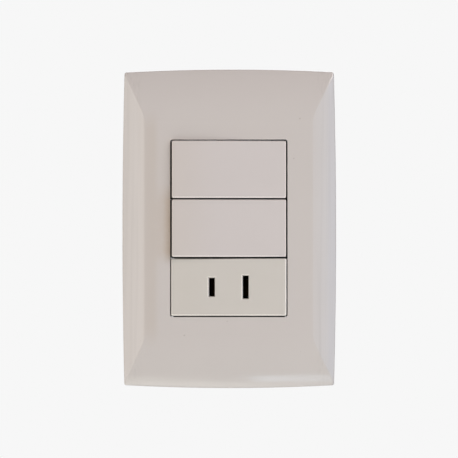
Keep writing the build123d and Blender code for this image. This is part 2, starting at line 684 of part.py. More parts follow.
def tooth(side):
    """The wedge on a tongue that snaps into the window of the frame's flange."""
    outline = make_face(
        Polyline(
            (side * (CARRIER_HALF - TOOTH_ROOT), TOOTH_FRONT),
            (side * (CARRIER_HALF + TOOTH_REACH), TOOTH_FRONT),
            (side * (CARRIER_HALF + TOOTH_REACH), TOOTH_FRONT + TOOTH_LENGTH / 4),
            (side * CARRIER_HALF, TOOTH_FRONT + TOOTH_LENGTH),
            (side * (CARRIER_HALF - TOOTH_ROOT), TOOTH_FRONT + TOOTH_LENGTH),
            close=True,
        )
    )
    return extrude(Pos(0, 0, -TOOTH_WIDTH / 2) * outline, TOOTH_WIDTH)


def leg_levels():
    """Levels of a leg along Y: the front of its tooth and its end."""
    end_y = CARRIER_BACK + LEG_LENGTH
    return end_y - LEG_TOOTH_LENGTH - LEG_TIP, end_y


def leg(x, side, wall):
    """A spring leg into the base, with a tooth that snaps into a window in the base's side."""
    outer = BASE_INNER_HALF_HEIGHT - LEG_CLEARANCE
    inner = outer - LEG_THICKNESS
    tooth_y, end_y = leg_levels()
    across = (x - LEG_WIDTH / 2, x + LEG_WIDTH / 2)
    root = span_box(
        across,
        (CARRIER_BACK - LEG_ROOT, CARRIER_BACK - TONGUE_ROOT),
        mirrored((inner, BODY_HALF_HEIGHT - wall / 2), side),
    )
    blade = span_box(across, (CARRIER_BACK - LEG_ROOT, end_y), mirrored((inner, outer), side))
    outline = make_face(
        Polyline(
            (tooth_y, side * (outer - LEG_THICKNESS / 2)),
            (tooth_y, side * (outer + LEG_TOOTH)),
            (tooth_y + LEG_TOOTH_LENGTH / 3, side * (outer + LEG_TOOTH)),
            (tooth_y + LEG_TOOTH_LENGTH, side * outer),
            (tooth_y + LEG_TOOTH_LENGTH, side * (outer - LEG_THICKNESS / 2)),
            close=True,
        )
    )
    plane = Plane(origin=(across[0], 0, 0), x_dir=(0, 1, 0), z_dir=(1, 0, 0))
    return root + blade + extrude(plane * outline, LEG_WIDTH)


def bridge():
    """The switch's front half: a deck with two ears for the rocker and a hole for its barrel."""
    hub_half = ROCKER_PLATE_WIDTH / 2 + EAR_GAP
    body = carrier_shell(CARRIER_WALL)
    hole_half = BARREL_HOLE_WIDTH / 2
    body -= span_box((-hole_half, hole_half), (DECK_FRONT_Y - OVERRUN, DECK_FRONT_Y + DECK + OVERRUN), (-hub_half, hub_half))
    pin_room = PIN_RADIUS + PIN_CLEARANCE
    ear_y = (PIVOT_Y - pin_room - EAR_OVER_PIN, DECK_FRONT_Y + DECK)
    for side in (-1, 1):
        ear_z = mirrored((hub_half, hub_half + EAR_WALL), side)
        ear = span_box((-EAR_HALF_LENGTH, EAR_HALF_LENGTH), ear_y, ear_z)
        front = ear.edges().filter_by(Axis.Z).group_by(Axis.Y)[0]
        body += fillet(front, EAR_RADIUS)
    reach = hub_half + EAR_WALL
    return body - rod_z(pin_room, 0, PIVOT_Y, (-reach, reach))


def base(posts, barrier):
    """The module's back half: an open box with rooms for two terminals.

    Each post is an (x, front level) pair; the barrier is the length of a middle wall, or 0.
    """
    half_z = BODY_HALF_HEIGHT
    body = span_box((-BASE_HALF, BASE_HALF), (CARRIER_BACK, BASE_BACK_Y), (-half_z, half_z))
    body = fillet(body.edges().filter_by(Axis.Y), BASE_EDGE_RADIUS)
    body = fillet(body.faces().sort_by(Axis.Y)[-1].edges(), BASE_EDGE_RADIUS / 2)
    body -= span_box(
        (BASE_WALL - BASE_HALF, BASE_HALF - BASE_WALL),
        (CARRIER_BACK - OVERRUN, FLOOR_Y),
        (-BASE_INNER_HALF_HEIGHT, BASE_INNER_HALF_HEIGHT),
    )
    for side in (-1, 1):
        body = body + terminal_room(side) - terminal_openings(side)
    for x, front_y in posts:
        body += span_box(
            (x - POST_LENGTH / 2, x + POST_LENGTH / 2),
            (front_y, FLOOR_Y),
            (-POST_WIDTH / 2, POST_WIDTH / 2),
        )
    if barrier:
        body += span_box(
            (-BARRIER / 2, BARRIER / 2),
            (FLOOR_Y - barrier, FLOOR_Y),
            (-BASE_INNER_HALF_HEIGHT, BASE_INNER_HALF_HEIGHT),
        )
    return body - leg_windows()


def terminal_room(side):
    """A partition with a notch for the strip, and two cheeks beside the terminal."""
    notch = SEESAW_WIDTH / 2 + TERMINAL_CLEARANCE
    partition_x = mirrored((PARTITION_INNER_X, PARTITION_OUTER_X), side)
    front_y = TERMINAL_FRONT_Y - PARTITION_RISE
    room = span_box(partition_x, (front_y, FLOOR_Y), (-BASE_INNER_HALF_HEIGHT, BASE_INNER_HALF_HEIGHT))
    room -= span_box(partition_x, (front_y, TERMINAL_FRONT_Y), (-notch, notch))
    for end in (-1, 1):
        cheek_z = mirrored((TERMINAL_WIDTH / 2 + TERMINAL_CLEARANCE, TERMINAL_WIDTH / 2 + CHEEK), end)
        cheek_x = mirrored((PARTITION_INNER_X, BASE_HALF - BASE_WALL), side)
        room += span_box(cheek_x, (FLOOR_Y - CHEEK_DEPTH, FLOOR_Y), cheek_z)
    return room


def terminal_openings(side):
    """The wire's mouth in the back wall and the screw's hole in the end wall."""
    radius = WIRE_RADIUS + WIRE_MOUTH_CLEARANCE
    mouth = rod_y(radius, side * WIRE_X, (FLOOR_Y - OVERRUN, BASE_BACK_Y + OVERRUN), 0)
    flare = Plane(origin=(side * WIRE_X, BASE_BACK_Y, 0), z_dir=(0, -1, 0)) * Circle(radius + WIRE_MOUTH_CHAMFER)
    mouth += extrude(flare, WIRE_MOUTH_CHAMFER, taper=45)
    end_x = mirrored((BASE_HALF - 1.5 * BASE_WALL, BASE_HALF + OVERRUN), side)
    return mouth + rod_x(SCREW_HOLE_RADIUS, end_x, SCREW_Y, 0)


def leg_windows():
    """Four windows in the base's long sides for the teeth of the legs."""
    tooth_y, end_y = leg_levels()
    half = LEG_WIDTH / 2 + LEG_CLEARANCE
    windows = []
    for side_x in (-1, 1):
        for side_z in (-1, 1):
            windows.append(
                span_box(
                    (side_x * LEG_X - half, side_x * LEG_X + half),
                    (tooth_y - LEG_CLEARANCE, end_y),
                    mirrored((BASE_INNER_HALF_HEIGHT - BASE_WALL / 2, BODY_HALF_HEIGHT + OVERRUN), side_z),
                )
            )
    return Part() + windows


def socket_slots(depth):
    """The two upright slots, from the face back over the given depth, with a chamfered mouth."""
    cuts = []
    for side, height in ((-1, LEFT_SLOT_HEIGHT), (1, RIGHT_SLOT_HEIGHT)):
        x = side * SLOT_SPACING / 2
        cut = span_box(
            (x - SLOT_WIDTH / 2, x + SLOT_WIDTH / 2),
            (SOCKET_FACE_Y - OVERRUN, SOCKET_FACE_Y + depth),
            (-height / 2, height / 2),
        )
        mouth = Rectangle(SLOT_WIDTH + 2 * SLOT_CHAMFER, height + 2 * SLOT_CHAMFER)
        mouth_plane = Plane(origin=(x, SOCKET_FACE_Y, 0), x_dir=(1, 0, 0), z_dir=(0, 1, 0))
        cuts.append(cut)
        cuts.append(extrude(mouth_plane * mouth, SLOT_CHAMFER, taper=45))
    return Part() + cuts


def socket_front():
    """The visible front of the socket, in one piece with its carrier."""
    half_x = SOCKET_FACE_WIDTH / 2
    half_z = SOCKET_FACE_HEIGHT / 2
    face = span_box((-half_x, half_x), (SOCKET_FACE_Y, DECK_FRONT_Y + DECK / 2), (-half_z, half_z))
    face = fillet(face.edges().filter_by(Axis.Y), KEY_CORNER_RADIUS)
    face = fillet(face.faces().sort_by(Axis.Y)[0].edges(), KEY_EDGE_RADIUS)
    body = face + carrier_shell(SOCKET_WALL)
    block_x = SLOT_BLOCK_WIDTH / 2
    block_z = SLOT_BLOCK_HEIGHT / 2
    hollow = span_box(
        (SOCKET_WALL - half_x, half_x - SOCKET_WALL),
        (SOCKET_FACE_Y + SOCKET_FACE, DECK_FRONT_Y + DECK + OVERRUN),
        (SOCKET_WALL - half_z, half_z - SOCKET_WALL),
    )
    hollow -= span_box((-block_x, block_x), (SOCKET_FACE_Y, DECK_FRONT_Y + DECK), (-block_z, block_z))
    return body - hollow - socket_slots(DECK_FRONT_Y + DECK + OVERRUN - SOCKET_FACE_Y)


def socket_contact(side):
    """A bowed clip for one blade on the tail strip that leads to its terminal."""
    x = SLOT_SPACING / 2
    front_y = DECK_FRONT_Y + DECK + CLIP_FRONT_GAP
    base_y = STRIP_FRONT_Y - CLIP_LEAF / 2
    pinch = CLIP_GAP / 2 + CLIP_LEAF / 2
    line = FilletPolyline(
        (x - pinch - CLIP_FLARE, front_y),
        (x - pinch, CLIP_PINCH_Y),
        (x - CLIP_MOUTH - CLIP_LEAF, base_y),
        (x + CLIP_MOUTH + CLIP_LEAF, base_y),
        (x + pinch, CLIP_PINCH_Y),
        (x + pinch + CLIP_FLARE, front_y),
        radius=STRIP_BEND_RADIUS,
    )
    clip = extrude(Pos(0, 0, -CLIP_WIDTH / 2) * trace(line, CLIP_LEAF), CLIP_WIDTH)
    tail_x = (x - CLIP_MOUTH - CLIP_LEAF, STUD_X + STUD_HEAD_RADIUS - STRIP_END_INSET)
    tail = span_box(tail_x, (STRIP_FRONT_Y, TERMINAL_FRONT_Y), (-SEESAW_WIDTH / 2, SEESAW_WIDTH / 2))
    contact = clip + tail - stud_hole(1)
    return contact if side > 0 else mirror(contact, Plane.YZ)


def module_parts():
    """Every moulded and metal piece of the three modules, by node name."""
    parts = {}
    fixed_front = FIXED_TIP_FRONT_Y + TIP_HEIGHT
    fixed_back = fixed_front + STRIP
    moving_tip = contact_tip(CONTACT_ARM, SEESAW_BACK_Y + TIP_HEIGHT, SEESAW_BACK_Y, SEESAW_FRONT_Y)
    fixed_tip = contact_tip(CONTACT_ARM, FIXED_TIP_FRONT_Y, fixed_front, fixed_back)
    switch = {
        "key": turned(key(), PIVOT_Y, ROCK_HALF_ANGLE),
        "rocker": turned(rocker(), PIVOT_Y, ROCK_HALF_ANGLE),
        "plunger": turned(plunger(), PIVOT_Y, ROCK_HALF_ANGLE),
        "spring": turned(plunger_spring(), PIVOT_Y, ROCK_HALF_ANGLE),
        "moving_contact": turned(seesaw(), SEESAW_Y, -SEESAW_HALF_ANGLE),
        "moving_contact_tip": turned(moving_tip, SEESAW_Y, -SEESAW_HALF_ANGLE),
        "pivot_terminal": pivot_strip(),
        "fixed_contact": fixed_strip(),
        "fixed_contact_tip": fixed_tip,
        "bridge": bridge(),
        "base": base([(0, TERMINAL_FRONT_Y), (CONTACT_ARM, fixed_back)], 0),
    }
    socket = {
        "front": socket_front(),
        "left_contact": socket_contact(-1),
        "right_contact": socket_contact(1),
        "base": base([(side * SLOT_SPACING / 2, TERMINAL_FRONT_Y) for side in (-1, 1)], BARRIER_DEPTH),
    }
    shared = {
        "left_terminal_block": terminal_block(-1),
        "right_terminal_block": terminal_block(1),
        "left_terminal_screw": terminal_screw(-1),
        "right_terminal_screw": terminal_screw(1),
    }
    for module, row in MODULE_ROWS.items():
        pieces = socket if module == "socket" else switch
        for name, shape in {**pieces, **shared}.items():
            parts[f"{module}_{name}"] = Pos(0, 0, row * MODULE_PITCH) * shape
    return parts


os.makedirs("parts", exist_ok=True)
nodes = {"cover_plate": cover_plate(), "mounting_frame": mounting_frame(), **module_parts()}
for node, shape in nodes.items():
    export_step(shape, f"parts/{node}.step")
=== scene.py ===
"""Looks of a glossy wall plate with two wide rocker switches over a flat-blade socket.

Everything is in metres, in the part's own frame: X to the right, +Y into the wall, Z up,
with the origin on the wall's plane, midway between the two box screws.
"""

import json
import math

import bmesh
import bpy
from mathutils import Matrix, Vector


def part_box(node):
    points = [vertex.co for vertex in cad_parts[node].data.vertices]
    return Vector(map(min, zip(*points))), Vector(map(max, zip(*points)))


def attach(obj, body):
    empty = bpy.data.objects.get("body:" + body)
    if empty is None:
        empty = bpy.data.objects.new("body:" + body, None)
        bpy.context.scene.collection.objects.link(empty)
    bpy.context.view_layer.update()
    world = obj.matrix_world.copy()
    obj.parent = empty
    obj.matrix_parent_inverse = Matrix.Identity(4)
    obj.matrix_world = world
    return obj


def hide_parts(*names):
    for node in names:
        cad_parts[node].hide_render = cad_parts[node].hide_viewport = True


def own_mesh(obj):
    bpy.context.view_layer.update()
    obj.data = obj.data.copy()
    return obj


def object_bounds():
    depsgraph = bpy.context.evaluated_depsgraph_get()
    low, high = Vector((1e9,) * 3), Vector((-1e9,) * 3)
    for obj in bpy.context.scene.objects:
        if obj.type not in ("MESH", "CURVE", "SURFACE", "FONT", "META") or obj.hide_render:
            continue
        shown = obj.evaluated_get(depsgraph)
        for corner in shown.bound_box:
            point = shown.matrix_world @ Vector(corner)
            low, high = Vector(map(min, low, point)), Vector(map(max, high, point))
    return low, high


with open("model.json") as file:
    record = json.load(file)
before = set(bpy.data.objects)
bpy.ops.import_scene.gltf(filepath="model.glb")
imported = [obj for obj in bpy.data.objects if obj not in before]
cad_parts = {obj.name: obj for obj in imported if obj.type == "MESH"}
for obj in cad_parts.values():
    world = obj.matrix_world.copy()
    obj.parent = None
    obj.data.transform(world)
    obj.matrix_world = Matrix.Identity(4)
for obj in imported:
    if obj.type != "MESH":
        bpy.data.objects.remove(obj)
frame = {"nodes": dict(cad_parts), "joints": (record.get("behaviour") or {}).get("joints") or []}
cad_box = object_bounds()

MM = 0.001

# The picture: the camera stands a little right of the plate's middle and a little below it
CAMERA_PLACE = (0.041, -1.5, -0.041)
SENSOR_WIDTH = 36.0
PLATE_SHARE_OF_WIDTH = 213.79 / 458
CAMERA_SHIFT = (-0.0003, -0.0009)
RIM_DEPTH = -0.0044

# The room
BACKDROP_LIGHT = 0.93
ROOM_LIGHT = 0.10
FLOOR_DROP = 1.0
FLOOR_SIZE = 2.0
FLOOR_COLOUR = (0.06, 0.06, 0.06, 1.0)
FLOOR_GLOW = 0.88
CARD_SIZE = 0.7
CARD_BEHIND = 0.15
CARD_COLOUR = (0.10, 0.09, 0.08, 1.0)

# Soft boxes: name, azimuth and elevation in degrees, distance, width and height in metres,
# radiance and colour
SOFT_BOXES = (
    ("left_glow", -19, 0, 1.5, 0.262, 1.6, 0.18, (1.6, 0.9, 0.2)),
    ("left_front", -33, 0, 1.5, 0.475, 1.6, 1.30, (1.05, 1.0, 0.92)),
    ("left_side", -54, 0, 1.5, 0.638, 1.6, 1.53, (0.99, 1.0, 0.99)),
    ("left_edge", -80, 0, 1.5, 0.748, 1.6, 1.52, (1.0, 0.99, 0.99)),
    ("right_front", 17, 0, 1.5, 0.583, 1.6, 0.46, (0.83, 1.04, 1.22)),
    ("right_mid", 38, 0, 1.5, 0.529, 1.6, 0.54, (0.81, 1.03, 1.18)),
    ("right_side", 58, 0, 1.5, 0.529, 1.6, 0.90, (0.88, 1.02, 1.12)),
    ("right_edge", 80, 0, 1.5, 0.638, 1.6, 1.06, (0.77, 0.98, 1.26)),
    ("low_left", -35, -60, 1.0, 0.8, 0.5, 1.24, (1.0, 1.05, 0.92)),
    ("high_right", 45, 38, 1.3, 0.8, 0.6, 4.75, (1.04, 0.97, 0.96)),
    ("back_fill", 165, 25, 1.6, 1.2, 1.0, 1.8, (1.0, 1.0, 1.0)),
    ("back_side", -140, 10, 1.6, 1.0, 1.2, 0.8, (1.0, 1.0, 1.0)),
)
ENERGY_PER_RADIANCE = 4

# The low panel: the middle of its front edge, its turn in degrees, its level and its size
PANEL_EDGE_X = 0.17
PANEL_EDGE_Y = -0.2015
PANEL_TURN = 8.6
PANEL_LEVEL = -0.20
PANEL_LENGTH = 0.34
PANEL_WIDTH = 0.03
PANEL_RADIANCE = 2.35
PANEL_COLOUR = (0.84, 1.0, 1.15)

# Materials in general
REFRACTION = 1.5
NOISE_ROUGHNESS = 0.55
EDGE_SAMPLES = 6
GAP_SAMPLES = 8
TARNISH = 0.35
ACROSS = (8.0, 1.0, 1.0)
UPWARDS = (1.0, 1.0, 10.0)
EVEN = (1.0, 1.0, 1.0)

# Painted shade: the keys and the socket front are darker and warmer from their left end to near their middle
LEFT_SHADE_FROM = -22.0 * MM
LEFT_SHADE_TO = -2.0 * MM

# Marks on the plate, in millimetres from the plate's middle, across and up
PLATE_DEPTH = 9.0 * MM
SPECKS = ((26.7, 41.2, 0.28), (24.4, 26.2, 0.24), (-16.7, -40.2, 0.30), (-0.6, -34.9, 0.22))
FLOW_X = 32.5
# The painted shadow and dull rub left of the lower key
SHADOW_AND_RUB_X = -22.3
SHADOW_AND_RUB_REACH = 3.2
SHADOW_AND_RUB_LOW = -11.5
SHADOW_AND_RUB_HIGH = 15.0
# The darker upright strip at the foot of the left slope
DARKER_STRIP_X = -29.4
DARKER_STRIP_HALF_HEIGHT = 42.0

# The bases' moulded relief
MODULE_PITCH = 22.1 * MM
BASE_BACK = 23.2 * MM
SUNK_SLOPE = 0.25 * MM
SUNK_DEPTH_MM = 0.7
PANEL_HALF_WIDTH = 10.0 * MM
PANEL_HALF_HEIGHT = 7.0 * MM
PIN_PLACE = (12.6 * MM, 0.0, 8.3 * MM)
PIN_RADIUS = 1.3 * MM
PARTING_DEPTH = 16.0 * MM

# Pieces made here: lengths in metres, the rib's in millimetres
CREASE_ANGLE = 35.0
THREAD_PITCH = 0.5 * MM
THREAD_DEPTH = 0.27 * MM
THREAD_FLAT = 1.3
THREAD_SIDES = 40
RINGS_PER_TURN = 8
SCREW_CHAMFER = 0.25 * MM
SCREW_SHRINK = 0.002 * MM
DRIVER_SLOT_DEPTH = 0.9 * MM
DRIVER_SLOT_WIDTH = 0.7 * MM
SPRING_WIRE = 0.36 * MM
SPRING_TURNS = 4.0
CLOSED_PITCH = 1.05
COIL_STEPS = 32
WIRE_SIDES = 12
RIB_HALF = 21.0
RIB_END = 0.4
RIB_END_INSET = 0.35
RIB_PROFILE = ((-4.4, -32.9), (-4.4, -33.8), (-4.15, -34.05), (-3.7, -34.05), (-2.6, -32.9))


def screen(red, green, blue):
    """The linear colour that shows as these 8-bit screen values."""
    def linear(value):
        share = value / 255
        return share / 12.92 if share <= 0.04045 else ((share + 0.055) / 1.055) ** 2.4
    return (linear(red), linear(green), linear(blue), 1.0)


def toned(colour, share, lift=0.0):
    """A colour with its channels times a share and lifted a little, none above 1."""
    return tuple(min(1.0, channel * share + lift) for channel in colour[:3]) + (1.0,)


# Painted shade: the dark brown painted into the gaps between parts and onto the rims beside them
GAP_SHADE = screen(34, 25, 20)


class Recipe:
    """A material being built: its node tree, its shader and the place on the piece."""

    def __init__(self, name, metallic=0.0):
        self.material = bpy.data.materials.new(name)
        self.material.use_nodes = True
        self.tree = self.material.node_tree
        self.shader = self.tree.nodes["Principled BSDF"]
        self.shader.inputs["Metallic"].default_value = metallic
        self.shader.inputs["IOR"].default_value = REFRACTION
        self.place = self.tree.nodes.new("ShaderNodeTexCoord").outputs["Object"]

    def add(self, kind, inputs, **settings):
        """A node of one kind, its inputs fed by numbers or by other nodes' outputs."""
        made = self.tree.nodes.new("ShaderNode" + kind)
        for key, value in settings.items():
            setattr(made, key, value)
        for key, value in inputs.items():
            if isinstance(value, bpy.types.NodeSocket):
                self.tree.links.new(value, made.inputs[key])
            else:
                made.inputs[key].default_value = value
        return made

    def feed(self, socket_name, value):
        """Feeds one of the shader's own inputs."""
        self.tree.links.new(value, self.shader.inputs[socket_name])

    def calc(self, operation, first, second, limit=False):
        """One sum with two values, held within 0 and 1 if limit says so."""
        made = self.add("Math", {0: first, 1: second}, operation=operation, use_clamp=limit)
        return made.outputs[0]

    def spread(self, value, low, high, from_value=0.0, to_value=1.0):
        """Turns low..high of a value into from_value..to_value, with soft ends."""
        inputs = {
            "Value": value,
            "From Min": low,
            "From Max": high,
            "To Min": from_value,
            "To Max": to_value,
        }
        return self.add("MapRange", inputs, interpolation_type="SMOOTHSTEP").outputs["Result"]

    def parts(self, vector):
        """The three parts of a vector: across, into the wall and up."""
        return self.add("SeparateXYZ", {0: vector}).outputs

    def measured(self, size_mm, stretch):
        """The place with size_mm times stretch as its unit along each axis."""
        scale = [1.0 / (size_mm * MM * share) for share in stretch]
        return self.add("VectorMath", {0: self.place, 1: scale}, operation="MULTIPLY").outputs[0]

    def noise(self, size_mm, detail=3.0, stretch=EVEN, seed=0.0):
        """Cloudy noise whose patches are about size_mm across, drawn out by stretch."""
        scaled = self.measured(size_mm, stretch)
        shifted = self.add("VectorMath", {0: scaled, 1: (seed, seed, seed)}, operation="ADD").outputs[0]
        inputs = {"Vector": shifted, "Scale": 1.0, "Detail": detail, "Roughness": NOISE_ROUGHNESS}
        return self.add("TexNoise", inputs).outputs[0]

    def cells(self, size_mm, stretch=EVEN, feature="F1"):
        """Distance to the middle or to the edge of cells that are about size_mm across."""
        scaled = self.measured(size_mm, stretch)
        made = self.add("TexVoronoi", {"Vector": scaled, "Scale": 1.0}, feature=feature)
        return made.outputs["Distance"]

    def distance(self, spot, centre):
        """Distance of a spot from a fixed centre."""
        return self.add("VectorMath", {0: spot, 1: centre}, operation="DISTANCE").outputs["Value"]

    def tint(self, factor, first, second):
        """One colour turning into another by a factor."""
        made = self.add("Mix", {0: factor, 6: first, 7: second}, data_type="RGBA")
        return made.outputs[2]

    def openness(self, reach_mm, samples, **settings):
        """How much of the air, or of the body if inside is set, is free within a reach."""
        inputs = {"Distance": reach_mm * MM}
        return self.add("AmbientOcclusion", inputs, samples=samples, **settings).outputs["AO"]

    def outer_edges(self, reach_mm):
        """1 on sharp outward edges, 0 on open faces."""
        inside = self.openness(reach_mm, EDGE_SAMPLES, inside=True, only_local=True)
        return self.spread(inside, 0.50, 0.90, 1.0, 0.0)

    def corners(self, reach_mm):
        """1 deep in grooves and inner corners, 0 on open faces."""
        outside = self.openness(reach_mm, EDGE_SAMPLES, only_local=True)
        return self.spread(outside, 0.35, 0.95, 1.0, 0.0)

    def gaps(self, reach_mm, deep, open_air):
        """1 deep in the gap to a neighbour, 0 on open faces."""
        return self.spread(self.openness(reach_mm, GAP_SAMPLES), deep, open_air, 1.0, 0.0)

    def own_normal(self):
        """The surface's direction in the piece's own frame."""
        return self.add("TexCoord", {}).outputs["Normal"]

    def painted_highlight_rim(self, reach_mm):
        """Where a highlight is painted: 1 along the edges that turn to the right or down, up to their
        rounding's outer half.
        """
        turned = self.add("Bevel", {"Radius": reach_mm * MM}, samples=EDGE_SAMPLES).outputs[0]
        lean_x, _, lean_z = self.parts(turned)
        right = self.spread(lean_x, 0.08, 0.22)
        low = self.spread(lean_z, -0.22, -0.08, 1.0, 0.0)
        facing = self.parts(self.own_normal())[1]
        front = self.spread(facing, -0.92, -0.65, 1.0, 0.0)
        either = self.calc("MAXIMUM", right, self.calc("MULTIPLY", low, 0.7))
        return self.calc("MULTIPLY", either, front)

    def shaded_rim(self, right_share, low_share, high_share):
        """Where shade is painted: the outer part of the edges' rounding, by the share that each side's gap
        shades.
        """
        lean_x, facing, lean_z = self.parts(self.own_normal())
        right = self.spread(lean_x, 0.22, 0.45, 0.0, right_share)
        low = self.spread(lean_z, -0.6, -0.3, low_share, 0.0)
        high = self.spread(lean_z, 0.3, 0.6, 0.0, high_share)
        outer = self.spread(facing, -0.82, -0.5)
        above_and_below = self.calc("MULTIPLY", self.calc("MAXIMUM", low, high), outer)
        return self.calc("MAXIMUM", right, above_and_below)

    def relief(self, height, depth_mm, under=None):
        """A bump of this depth, on top of another one where there is one."""
        inputs = {"Height": height, "Distance": depth_mm * MM, "Strength": 1.0}
        if under is not None:
            inputs["Normal"] = under
        return self.add("Bump", inputs).outputs["Normal"]


def moulded_plastic(
        name, colour, rough, grain_mm, grain_depth_mm,
        drift=0.05, edge_shine=0.06, rim=None, left_shade=None, moulding=None):
    """Moulded plastic: cloudy colour, fine grain, rubbed edges and inner corners a little darker.

    A key's plastic has rim, the shares of painted shade on its right, lower and upper edges, and,
    as its last argument, the shares of red, green and blue that its left end keeps under painted
    shade. It also gets painted shade in its gaps and a painted highlight on the edges that turn to
    the right or down.
    """
    recipe = Recipe(name)
    cloud = recipe.noise(14.0, detail=2.0)
    fine = recipe.noise(0.9, detail=4.0, seed=7.0)
    mixed = recipe.calc("ADD", recipe.calc("MULTIPLY", cloud, 0.7), recipe.calc("MULTIPLY", fine, 0.3))
    shade = recipe.tint(recipe.spread(mixed, 0.35, 0.65), toned(colour, 1 - drift), toned(colour, 1 + drift))
    broken = recipe.spread(recipe.noise(1.6, seed=3.0), 0.35, 0.65)
    rubbed_edges = recipe.calc("MULTIPLY", recipe.outer_edges(0.5), broken)
    shade = recipe.tint(rubbed_edges, shade, toned(colour, 1.10, 0.01))
    # Inner corners and grooves a little darker
    darker_corners = recipe.calc("MULTIPLY", recipe.corners(1.5), 0.55)
    shade = recipe.tint(darker_corners, shade, toned(colour, 0.72))
    if rim is not None:
        # Painted shade in the gaps to the plate and to the next piece
        shade = recipe.tint(recipe.gaps(2.0, 0.25, 0.75), shade, GAP_SHADE)
        # Painted shade: the left end darker and warmer, fading out before the middle
        across = recipe.parts(recipe.place)[0]
        shaded_left = tuple(channel * share for channel, share in zip(colour, left_shade)) + (1.0,)
        shade = recipe.tint(recipe.spread(across, LEFT_SHADE_FROM, LEFT_SHADE_TO), shaded_left, shade)
        # Painted highlight on the edges that turn to the right or down
        shade = recipe.tint(recipe.painted_highlight_rim(0.7), shade, toned(colour, 1.7))
        # Painted shade on the outer part of the rims, side by side
        shade = recipe.tint(recipe.shaded_rim(*rim), shade, GAP_SHADE)
    recipe.feed("Base Color", shade)
    smear = recipe.spread(recipe.noise(9.0, detail=5.0, seed=11.0), 0.35, 0.70, rough * 0.88, rough * 1.15)
    polished = recipe.calc("MULTIPLY", rubbed_edges, edge_shine)
    recipe.feed("Roughness", recipe.calc("SUBTRACT", smear, polished, True))
    grain = recipe.noise(grain_mm, detail=2.0, seed=5.0)
    under = moulding(recipe) if moulding else None
    recipe.feed("Normal", recipe.relief(grain, grain_depth_mm, under))
    return recipe.material


def base_moulding(recipe):
    """A sunk panel and four pin marks on the back of each base, and a parting line round its sides."""
    across, depth, up = recipe.parts(recipe.place)
    off_middle = recipe.calc("ABSOLUTE", across, 0.0)
    off_row = recipe.calc("PINGPONG", up, MODULE_PITCH / 2)
    panel = recipe.calc(
        "MULTIPLY",
        recipe.spread(off_middle, PANEL_HALF_WIDTH - SUNK_SLOPE, PANEL_HALF_WIDTH, 1.0, 0.0),
        recipe.spread(off_row, PANEL_HALF_HEIGHT - SUNK_SLOPE, PANEL_HALF_HEIGHT, 1.0, 0.0),
    )
    spot = recipe.add("CombineXYZ", {0: off_middle, 2: off_row}).outputs[0]
    from_pin = recipe.distance(spot, PIN_PLACE)
    pins = recipe.spread(from_pin, PIN_RADIUS - SUNK_SLOPE, PIN_RADIUS, 1.0, 0.0)
    on_back = recipe.spread(depth, BASE_BACK - 2 * SUNK_SLOPE, BASE_BACK - SUNK_SLOPE)
    sunk = recipe.calc("MULTIPLY", recipe.calc("MAXIMUM", panel, pins), on_back)
    from_line = recipe.calc("ABSOLUTE", recipe.calc("SUBTRACT", depth, PARTING_DEPTH), 0.0)
    line = recipe.spread(from_line, 0.0, SUNK_SLOPE, 0.6, 0.0)
    height = recipe.calc("SUBTRACT", 1.0, recipe.calc("MAXIMUM", sunk, line))
    return recipe.relief(height, SUNK_DEPTH_MM)


def shadow_and_rub_beside_keys(recipe, across, up):
    """The painted shadow and dull rub on the plate left of the lower key: 0 to about 0.7, strongest at the
    opening.
    """
    near = SHADOW_AND_RUB_X - SHADOW_AND_RUB_REACH
    far = SHADOW_AND_RUB_X - 3 * SHADOW_AND_RUB_REACH
    close = recipe.spread(across, near * MM, SHADOW_AND_RUB_X * MM, 0.0, 0.45)
    wide = recipe.spread(across, far * MM, near * MM, 0.0, 0.25)
    past = recipe.spread(across, (SHADOW_AND_RUB_X + 0.2) * MM, (SHADOW_AND_RUB_X + 0.8) * MM, 1.0, 0.0)
    over = recipe.spread(up, (SHADOW_AND_RUB_LOW - 3) * MM, (SHADOW_AND_RUB_LOW + 3) * MM)
    under = recipe.spread(up, (SHADOW_AND_RUB_HIGH - 6) * MM, (SHADOW_AND_RUB_HIGH + 3) * MM, 1.0, 0.0)
    along = recipe.calc("MULTIPLY", recipe.calc("ADD", close, wide), past)
    return recipe.calc("MULTIPLY", along, recipe.calc("MULTIPLY", over, under))


def darker_strip(recipe, across, up):
    """The upright darker, warmer strip at the foot of the left slope."""
    off_strip = recipe.calc("ABSOLUTE", recipe.calc("SUBTRACT", across, DARKER_STRIP_X * MM), 0.0)
    strip = recipe.spread(off_strip, 0.8 * MM, 3.5 * MM, 0.8, 0.0)
    off_middle = recipe.calc("ABSOLUTE", up, 0.0)
    ends = recipe.spread(off_middle, (DARKER_STRIP_HALF_HEIGHT - 6) * MM, (DARKER_STRIP_HALF_HEIGHT + 4) * MM, 1.0, 0.0)
    return recipe.calc("MULTIPLY", strip, ends)


def flow_lines(recipe, across):
    """Fine upright streaks in the plastic of the side slopes."""
    streaks = recipe.noise(0.9, detail=2.0, stretch=(1.0, 1.0, 70.0), seed=15.0)
    sides = recipe.spread(recipe.calc("ABSOLUTE", across, 0.0), FLOW_X * MM, (FLOW_X + 1.5) * MM)
    return recipe.calc("MULTIPLY", recipe.spread(streaks, 0.4, 0.7), sides)


